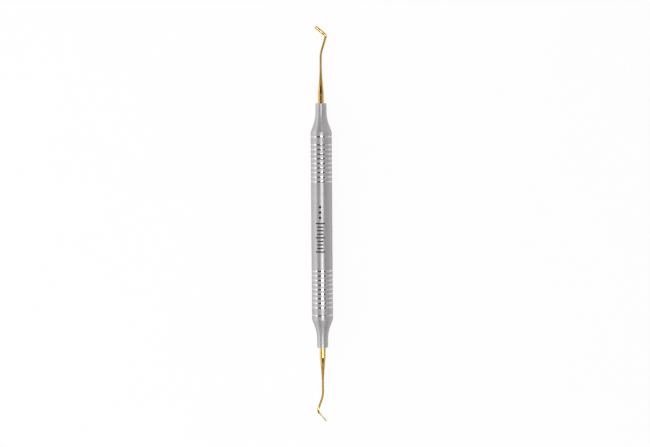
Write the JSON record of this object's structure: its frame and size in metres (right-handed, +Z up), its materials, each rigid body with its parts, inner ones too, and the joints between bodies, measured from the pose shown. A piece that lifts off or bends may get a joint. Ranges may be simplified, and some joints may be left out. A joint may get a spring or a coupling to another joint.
{
  "type": "double-ended dental hand instrument",
  "caption": "Slim double-ended dental hand instrument: grooved hollow round handle, tapered necks and bent gold-coated tips, a flat-ended condenser at +X and a thin blade at -X.",
  "frame": {"origin": "middle of the handle, on its axis", "axes": "+X along the handle towards the condenser; +Y the side that both working ends point across to at +X; +Z up, square to the plane in which both tips bend"},
  "size_m": [0.1796, 0.0094, 0.0094],
  "materials": {
    "satin_steel": "satin",
    "gold_coating": "polished"
  },
  "bodies": {
    "root": {"handle_tube": "satin_steel", "condenser_end_cone": "satin_steel", "blade_end_cone": "satin_steel", "condenser_tip": "gold_coating", "blade_tip": "gold_coating"}
  },
  "joints": []
}
